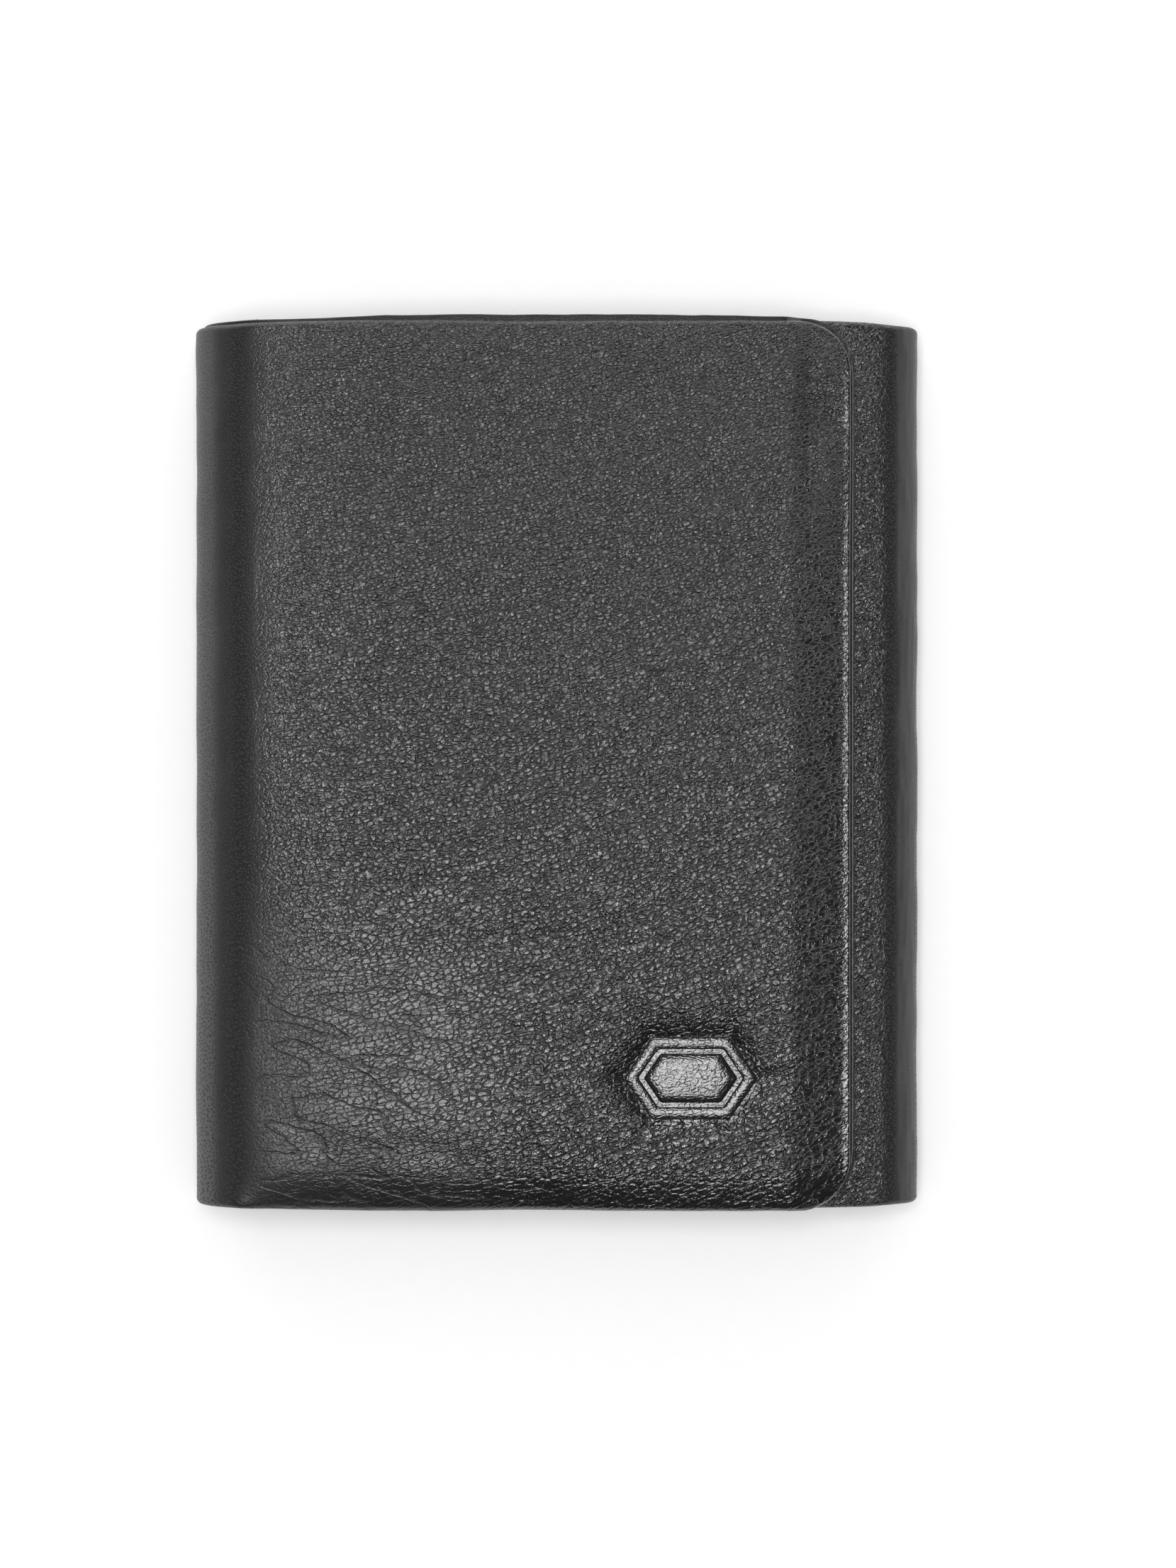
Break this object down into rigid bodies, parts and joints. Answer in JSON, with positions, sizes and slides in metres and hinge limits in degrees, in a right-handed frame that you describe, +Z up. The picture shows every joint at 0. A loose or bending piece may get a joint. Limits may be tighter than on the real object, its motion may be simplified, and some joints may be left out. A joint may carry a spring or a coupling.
{
  "type": "bifold wallet",
  "caption": "Compact black bifold wallet in pebbled leather, closed: padded front flap on a soft rolled fold over a leaf with card pockets and an open-topped bill pocket.",
  "frame": {"origin": "middle of the back face, on the surface that the closed wallet lies on", "axes": "+Z up through the closed wallet's thickness, +Y along the fold towards the open end of the pockets, +X from the fold to the flap's free edge"},
  "size_m": [0.084, 0.1028, 0.0156],
  "materials": {
    "outer_leather": "pebbled grain, semi-matt",
    "lining_leather": "smooth fine grain, semi-matt",
    "pocket_leather": "thin fine grain, semi-matt",
    "lining_cloth": "woven, soft sheen",
    "board": "bonded leather board, matt",
    "clear_film": "clear and glossy",
    "thread": "waxed polyester thread"
  },
  "bodies": {
    "body": {"body_leather": "outer_leather", "back_board": "board", "body_lining": "lining_cloth", "bottom_gusset": "lining_leather", "side_gusset": "lining_leather", "pocket_backing": "pocket_leather", "wrap_welt": "pocket_leather", "card_pocket_rear": "pocket_leather", "card_pocket_middle": "pocket_leather", "card_pocket_front": "pocket_leather", "card_pocket_welts": "pocket_leather", "body_stitches": "thread"},
    "fold_lower": {"fold_leather_lower": "outer_leather", "fold_lining_lower": "lining_leather"},
    "fold_middle": {"fold_leather_middle": "outer_leather", "fold_lining_middle": "lining_leather"},
    "fold_upper": {"fold_leather_upper": "outer_leather", "fold_lining_upper": "lining_leather"},
    "flap": {"flap_leather": "outer_leather", "flap_lining": "lining_leather", "flap_padding": "board", "plaque_insert": "board", "slip_pocket": "pocket_leather", "window_frame": "pocket_leather", "window_film": "clear_film", "flap_pocket_welts": "pocket_leather", "flap_stitches": "thread"}
  },
  "joints": [
    {"name": "flap_fold", "type": "hinge", "parent": "body", "child": "fold_lower", "pos_m": [-0.03718, 0, 0.00059], "axis": [0, -1, 0], "range_deg": [0, 45]},
    {"name": "fold_bend_2", "type": "hinge", "parent": "fold_lower", "child": "fold_middle", "pos_m": [-0.04141, 0, 0.00482], "axis": [0, -1, 0], "range_deg": [0, 45]},
    {"name": "fold_bend_3", "type": "hinge", "parent": "fold_middle", "child": "fold_upper", "pos_m": [-0.04141, 0, 0.01078], "axis": [0, -1, 0], "range_deg": [0, 45]},
    {"name": "fold_bend_4", "type": "hinge", "parent": "fold_upper", "child": "flap", "pos_m": [-0.03718, 0, 0.01501], "axis": [0, -1, 0], "range_deg": [0, 45]}
  ],
  "couplings": [
    {"joint": "fold_bend_2", "follows": "flap_fold", "ratio": 1},
    {"joint": "fold_bend_3", "follows": "flap_fold", "ratio": 1},
    {"joint": "fold_bend_4", "follows": "flap_fold", "ratio": 1}
  ]
}
